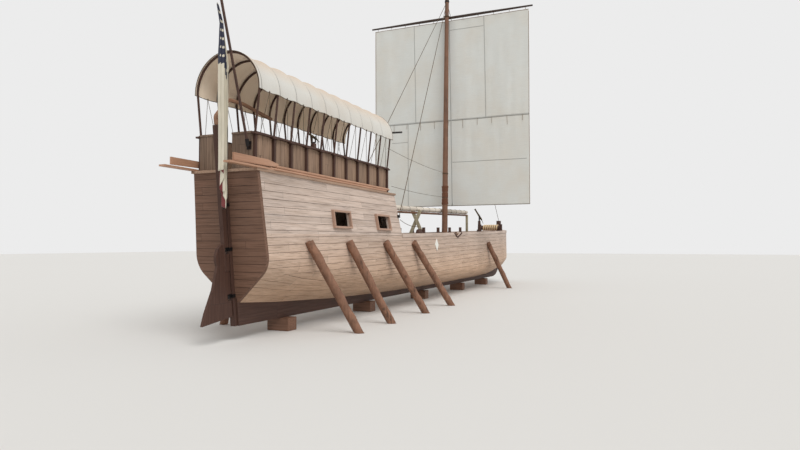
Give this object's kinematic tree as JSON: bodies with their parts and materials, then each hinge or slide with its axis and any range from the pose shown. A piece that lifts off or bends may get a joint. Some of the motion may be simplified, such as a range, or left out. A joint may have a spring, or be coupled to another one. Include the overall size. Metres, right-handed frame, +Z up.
{
  "type": "river keelboat",
  "caption": "Wooden river keelboat on log shores: raised stern cabin, hooped canvas tilt, one mast with a square sail, rudder with tiller, long sweeps and two swivel guns.",
  "frame": {"origin": "on the ground under the middle of the whole object's length, on the centre plane", "axes": "+X to the bow, +Y to port, +Z up"},
  "size_m": [17.5738, 5.19, 9.9021],
  "materials": {
    "planking": "oiled softwood planks, weathered pinkish brown",
    "dark_timber": "tarred dark brown timber",
    "frame_timber": "oiled oak",
    "deck_timber": "scrubbed deck boards",
    "bulwark_boards": "brown stained boards",
    "pale_timber": "pale bare wood",
    "spar_timber": "oiled round spar",
    "log_timber": "rough debarked log",
    "sweep_timber": "varnished ash",
    "white_paint": "flat white paint",
    "iron": "blackened wrought iron",
    "gun_bronze": "dull weathered bronze",
    "canvas": "cream cotton duck",
    "sailcloth": "grey-cream sailcloth",
    "rope": "tarred hemp",
    "flag_cloth": "bunting, navy canton with dark red and cream folds"
  },
  "bodies": {
    "hull": {"bitts": "dark_timber", "bow_deck": "deck_timber", "bulwark_port": "bulwark_boards", "bulwark_posts_port": "dark_timber", "bulwark_posts_starboard": "dark_timber", "bulwark_starboard": "bulwark_boards", "bulwark_stern": "bulwark_boards", "cabin_front": "planking", "cabin_side_port": "planking", "cabin_side_starboard": "planking", "canopy": "canvas", "canopy_hoops": "dark_timber", "door_hinge_pins": "iron", "flag": "flag_cloth", "flagstaff": "spar_timber", "floorboards": "deck_timber", "frames": "frame_timber", "furled_awning": "canvas", "gudgeons": "iron", "gun_post": "dark_timber", "gunwale_port": "planking", "gunwale_starboard": "planking", "hull_planking_port": "planking", "hull_planking_starboard": "planking", "keel": "dark_timber", "keel_blocks": "log_timber", "mast": "spar_timber", "mast_step": "frame_timber", "mast_woolding": "rope", "plaques": "white_paint", "pole_supports": "frame_timber", "quarterdeck": "deck_timber", "ridge_pole": "spar_timber", "shores_port": "log_timber", "shores_starboard": "log_timber", "staff_socket": "iron", "stay_irons": "iron", "stays": "rope", "stem": "dark_timber", "sternpost": "dark_timber", "sweeps_port": "sweep_timber", "sweeps_starboard": "sweep_timber", "thwarts": "frame_timber", "transom": "planking", "windlass_drum": "frame_timber", "windlass_rope": "rope", "window_frames": "pale_timber"},
    "rudder": {"rudder": "dark_timber", "pintles": "iron", "tiller": "spar_timber"},
    "door": {"cabin_door": "bulwark_boards", "door_straps": "iron"},
    "yard": {"yard": "spar_timber", "yard_ropes": "rope", "sail": "sailcloth"},
    "bow_fork": {"gun_fork_bow": "iron"},
    "bow_gun": {"gun_barrel_bow": "gun_bronze"},
    "stern_fork": {"gun_fork_stern": "iron"},
    "stern_gun": {"gun_barrel_stern": "gun_bronze"}
  },
  "joints": [
    {"name": "rudder_turn", "type": "hinge", "parent": "hull", "child": "rudder", "pos_m": [-8.08834, 0, 2.5365], "axis": [-0.1167, 0, 0.9932], "range_deg": [-18, 18]},
    {"name": "door_swing", "type": "hinge", "parent": "hull", "child": "door", "pos_m": [-3.05514, 0.28, 1.39], "axis": [0, 0, 1], "range_deg": [0, 100]},
    {"name": "yard_brace", "type": "hinge", "parent": "hull", "child": "yard", "pos_m": [1.95786, 0, 0.625], "axis": [0.0384, 0, 0.9993], "range_deg": [-25, 25]},
    {"name": "bow_gun_train", "type": "hinge", "parent": "hull", "child": "bow_fork", "pos_m": [5.82686, 0, 2.2803], "axis": [0, 0, 1], "range_deg": [-120, 120]},
    {"name": "bow_gun_elevate", "type": "hinge", "parent": "bow_fork", "child": "bow_gun", "pos_m": [5.82686, 0, 2.4503], "axis": [-0.8829, -0.4695, 0], "range_deg": [0, 75]},
    {"name": "stern_gun_train", "type": "hinge", "parent": "hull", "child": "stern_fork", "pos_m": [-6.29264, -0.498, 3.1603], "axis": [0, 0, 1], "range_deg": [-90, 90]},
    {"name": "stern_gun_elevate", "type": "hinge", "parent": "stern_fork", "child": "stern_gun", "pos_m": [-6.29264, -0.498, 3.2657], "axis": [0, -1, 0], "range_deg": [-40, 25]}
  ]
}
